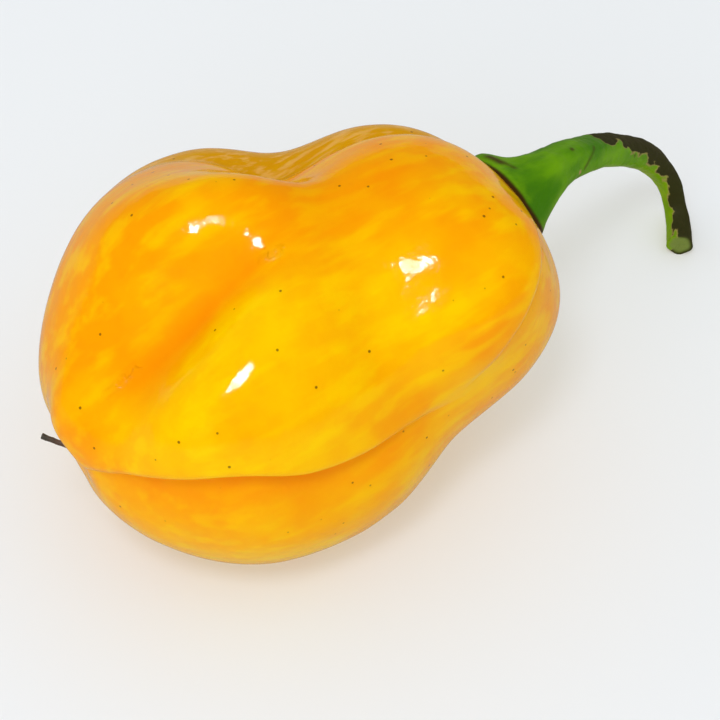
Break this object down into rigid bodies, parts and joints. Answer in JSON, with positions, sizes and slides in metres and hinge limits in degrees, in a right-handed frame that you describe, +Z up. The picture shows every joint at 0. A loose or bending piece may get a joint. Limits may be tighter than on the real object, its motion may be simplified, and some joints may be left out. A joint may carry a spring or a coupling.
{
  "type": "chilli_pepper",
  "caption": "lobed glossy yellow-orange chilli pepper lying on its side, with a green calyx, a bent cut stalk and a dried style at its tip",
  "frame": {"origin": "middle of the whole part's box, on the surface that the chilli lies on", "axes": "+X from the pod's blossom end to its stalk, +Y to the far side, +Z up"},
  "size_m": [0.0768, 0.0402, 0.0382],
  "materials": {
    "pod_skin": "waxy, glossy, warmer orange in the furrows",
    "green_stalk": "fleshy green with dark dried patches",
    "dried_style": "dry, shrivelled brown"
  },
  "bodies": {
    "root": {"pod": "pod_skin", "calyx_and_stalk": "green_stalk", "style_remnant": "dried_style"}
  },
  "joints": []
}
